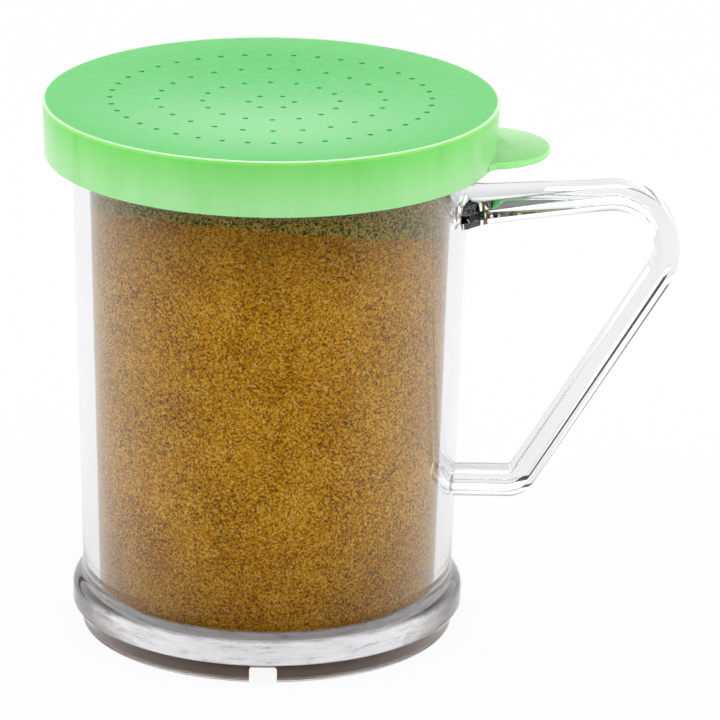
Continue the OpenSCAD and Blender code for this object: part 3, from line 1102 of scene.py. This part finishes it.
# %% [markdown]
# ## Floor, light and camera
# The photograph was taken on a plain white sweep, lit softly from all sides. The floor is a large pale
# sheet, a soft lamp stands at each side, and an even white world fills the shadows. Matt surfaces see
# that plain light alone. Gloss and clear plastic also mirror the room, so for them the world has a
# dim front, a panel overhead and a dark card at the back left, which draws the thin dark lines in the
# handle. The lamps themselves don't show in gloss, where they would bleach the lid from the side. The
# camera sees the floor almost plain white. To gloss and glass it is paper under the cup and far away,
# and shines a little around it.

# %% Floor
FLOOR_SIZE = 1.2
FLOOR_DROP = 0.2
SHADED_TO, SHINES_FROM = 31.0, 37.0
SHINES_TO, PLAIN_FROM = 160.0, 400.0
GLASS_SHARE = 0.45
CAMERA_SHARE = 0.92
PAPER_TONES = [(0.3, "#F6F6F6"), (0.7, "#FAFAFA")]


def white_sweep():
    material, output = new_material("white_paper_sweep")
    place = add(material, "ShaderNodeTexCoord").outputs["Object"]
    fibre = add(material, "ShaderNodeTexNoise", {"Vector": place}, {"Scale": per_metre(2), "Detail": 2.0})
    colour = add(material, "ShaderNodeValToRGB", {"Fac": fibre.outputs["Fac"]}, stops=PAPER_TONES)
    paper = add(material, "ShaderNodeBsdfDiffuse", {"Color": colour.outputs["Color"]})
    seen = add(material, "ShaderNodeLightPath")
    plain = add(material, "ShaderNodeEmission", values={"Strength": 1.0})
    glassy = add(
        material,
        "ShaderNodeMath",
        {0: seen.outputs["Is Glossy Ray"], 1: seen.outputs["Is Transmission Ray"]},
        operation="MAXIMUM",
    )
    middle = add(material, "ShaderNodeVectorMath", {0: place}, operation="LENGTH")
    lit = add(
        material,
        "ShaderNodeMapRange",
        {"Value": middle.outputs["Value"]},
        {"From Min": SHADED_TO * MM, "From Max": SHINES_FROM * MM, "To Min": 0.0, "To Max": GLASS_SHARE},
    )
    far = add(
        material,
        "ShaderNodeMapRange",
        {"Value": middle.outputs["Value"]},
        {"From Min": SHINES_TO * MM, "From Max": PLAIN_FROM * MM, "To Min": 1.0, "To Max": 0.0},
    )
    bright = add(
        material,
        "ShaderNodeMath",
        {0: lit.outputs["Result"], 1: far.outputs["Result"]},
        operation="MULTIPLY",
    )
    through = add(
        material, "ShaderNodeMath", {0: glassy.outputs[0], 1: bright.outputs[0]}, operation="MULTIPLY"
    )
    straight = add(
        material,
        "ShaderNodeMath",
        {0: seen.outputs["Is Camera Ray"]},
        {1: CAMERA_SHARE},
        operation="MULTIPLY",
    )
    share = add(
        material, "ShaderNodeMath", {0: straight.outputs[0], 1: through.outputs[0]}, operation="MAXIMUM"
    )
    both = add(
        material, "ShaderNodeMixShader", {"Fac": share.outputs[0], 1: paper.outputs[0], 2: plain.outputs[0]}
    )
    return finish_surface(material, output, both)


half = FLOOR_SIZE / 2
corners = [(-half, -half, 0), (half, -half, 0), (half, half, 0), (-half, half, 0)]
floor = new_object("floor_sheet", corners, [[0, 1, 2, 3]], 1.0)
floor.data.materials.append(white_sweep())
floor.location.z = -FLOOR_DROP * MM

# %% Lamps and world
LAMP_SIZE = 0.8
LAMP_POWER = 4


def softbox(name, place):
    """A large soft lamp that looks at the middle of the object, and that gloss doesn't mirror."""
    data = bpy.data.lights.new(name, "AREA")
    data.shape = "RECTANGLE"
    data.size = data.size_y = LAMP_SIZE
    data.energy = LAMP_POWER
    lamp = bpy.data.objects.new(name, data)
    lamp.location = place
    lamp.rotation_euler = (Vector((0, 0, 0.05)) - Vector(place)).to_track_quat("-Z", "Y").to_euler()
    lamp.visible_glossy = False
    bpy.context.scene.collection.objects.link(lamp)


softbox("softbox_left", (-1.1, -0.25, 0.5))
softbox("softbox_right", (1.1, -0.25, 0.5))

DARK_SIDE = (0.0, -math.cos(math.radians(25)), math.sin(math.radians(25)))
CARD_SIDE = (-0.35, 0.937, 0.0)
AMBIENT = 0.84
DIM_FRONT = 0.03
WALL_LEVEL, CEILING_LEVEL = 1.5, 0.25
PANEL_LEVEL = 3.0
CARD_DARKNESS = 0.94


def white_studio():
    """An even white room. Gloss and glass also see its dim front, a panel overhead and a dark card."""
    world = bpy.data.worlds.new("white_studio")
    world.use_nodes = True
    world.node_tree.nodes.clear()
    output = add(world, "ShaderNodeOutputWorld")
    way = add(world, "ShaderNodeTexCoord").outputs["Generated"]
    height = add(world, "ShaderNodeSeparateXYZ", {"Vector": way}).outputs["Z"]
    front = add(world, "ShaderNodeVectorMath", {0: way}, {1: DARK_SIDE}, operation="DOT_PRODUCT")
    beside = add(world, "ShaderNodeVectorMath", {0: way}, {1: CARD_SIDE}, operation="DOT_PRODUCT")
    apart = add(world, "ShaderNodeMath", {0: height}, operation="ABSOLUTE")
    # a value, the range it is read over, and the level at each end of that range
    ranges = [
        (front.outputs["Value"], -0.35, 0.9, 1.0, DIM_FRONT),
        (height, 0.12, 0.42, WALL_LEVEL, CEILING_LEVEL),
        (height, 0.78, 0.84, 0.0, PANEL_LEVEL),
        (apart.outputs[0], 0.035, 0.05, CARD_DARKNESS, 0.0),
        (beside.outputs["Value"], 0.7, 0.8, 0.0, 1.0),
    ]
    level, ceiling, overhead, band, near = [
        add(
            world,
            "ShaderNodeMapRange",
            {"Value": value},
            {"From Min": start, "From Max": end, "To Min": low, "To Max": high},
        ).outputs["Result"]
        for value, start, end, low, high in ranges
    ]
    card = add(world, "ShaderNodeMath", {0: band, 1: near}, operation="MULTIPLY")
    uncovered = add(world, "ShaderNodeMath", {1: card.outputs[0]}, {0: 1.0}, operation="SUBTRACT")
    walls = add(world, "ShaderNodeMath", {0: level, 1: ceiling}, operation="MULTIPLY")
    room = add(world, "ShaderNodeMath", {0: walls.outputs[0], 1: overhead}, operation="ADD")
    mirrored = add(
        world, "ShaderNodeMath", {0: room.outputs[0], 1: uncovered.outputs[0]}, operation="MULTIPLY"
    )
    seen = add(world, "ShaderNodeLightPath")
    spread = add(world, "ShaderNodeMath", {0: seen.outputs["Diffuse Depth"]}, {1: 1.0}, operation="MINIMUM")
    direct = add(world, "ShaderNodeMath", {1: spread.outputs[0]}, {0: 1.0}, operation="SUBTRACT")
    bent = add(
        world,
        "ShaderNodeMath",
        {0: seen.outputs["Is Glossy Ray"], 1: seen.outputs["Is Transmission Ray"]},
        operation="MAXIMUM",
    )
    glassy = add(world, "ShaderNodeMath", {0: bent.outputs[0], 1: direct.outputs[0]}, operation="MULTIPLY")
    shine = add(
        world, "ShaderNodeMath", {0: mirrored.outputs[0], 1: glassy.outputs[0]}, operation="MULTIPLY"
    )
    special = add(
        world, "ShaderNodeMath", {0: glassy.outputs[0], 1: seen.outputs["Is Camera Ray"]}, operation="ADD"
    )
    rest = add(world, "ShaderNodeMath", {1: special.outputs[0]}, {0: 1.0}, operation="SUBTRACT")
    even = add(world, "ShaderNodeMath", {0: rest.outputs[0]}, {1: AMBIENT}, operation="MULTIPLY")
    plain = add(
        world, "ShaderNodeMath", {0: even.outputs[0], 1: seen.outputs["Is Camera Ray"]}, operation="ADD"
    )
    shown = add(world, "ShaderNodeMath", {0: plain.outputs[0], 1: shine.outputs[0]}, operation="ADD")
    white = add(
        world, "ShaderNodeBackground", {"Strength": shown.outputs[0]}, {"Color": (1.0, 1.0, 1.0, 1.0)}
    )
    return finish_surface(world, output, white)


bpy.context.scene.world = white_studio()
bpy.context.scene.view_settings.view_transform = "Standard"

# %% [markdown]
# Light that is trapped in clear plastic bounces many times before it finds a way out. If the renderer
# gives up too early, those paths turn black, so the number of bounces goes up.

# %% Bounces in clear plastic
bpy.context.scene.cycles.max_bounces = 32
bpy.context.scene.cycles.glossy_bounces = 32
bpy.context.scene.cycles.transmission_bounces = 32

# %% Camera
CAMERA_PLACE = Vector((17.19, -921.58, 364.41)) * MM
CAMERA_PITCH = 0.3272
CAMERA_ROLL = -0.0148
FOCAL_PIXELS = 5146.2
PICTURE_PIXELS = 720
SENSOR = 36.0

ahead = Vector((0, math.cos(CAMERA_PITCH), -math.sin(CAMERA_PITCH)))
level = Vector((1, 0, 0))
above = Vector((0, math.sin(CAMERA_PITCH), math.cos(CAMERA_PITCH)))
side = math.cos(CAMERA_ROLL) * level - math.sin(CAMERA_ROLL) * above
top = math.sin(CAMERA_ROLL) * level + math.cos(CAMERA_ROLL) * above
turn = Matrix((side, top, -ahead)).transposed()

camera_data = bpy.data.cameras.new("photo_camera")
camera_data.sensor_width = SENSOR
camera_data.lens = FOCAL_PIXELS * SENSOR / PICTURE_PIXELS
camera_data.clip_start = 0.05
camera_data.clip_end = 20.0
camera = bpy.data.objects.new("photo_camera", camera_data)
camera.matrix_world = Matrix.Translation(CAMERA_PLACE) @ turn.to_4x4()
bpy.context.scene.collection.objects.link(camera)
bpy.context.scene.camera = camera
print(f"camera lens {camera_data.lens:.1f} mm")
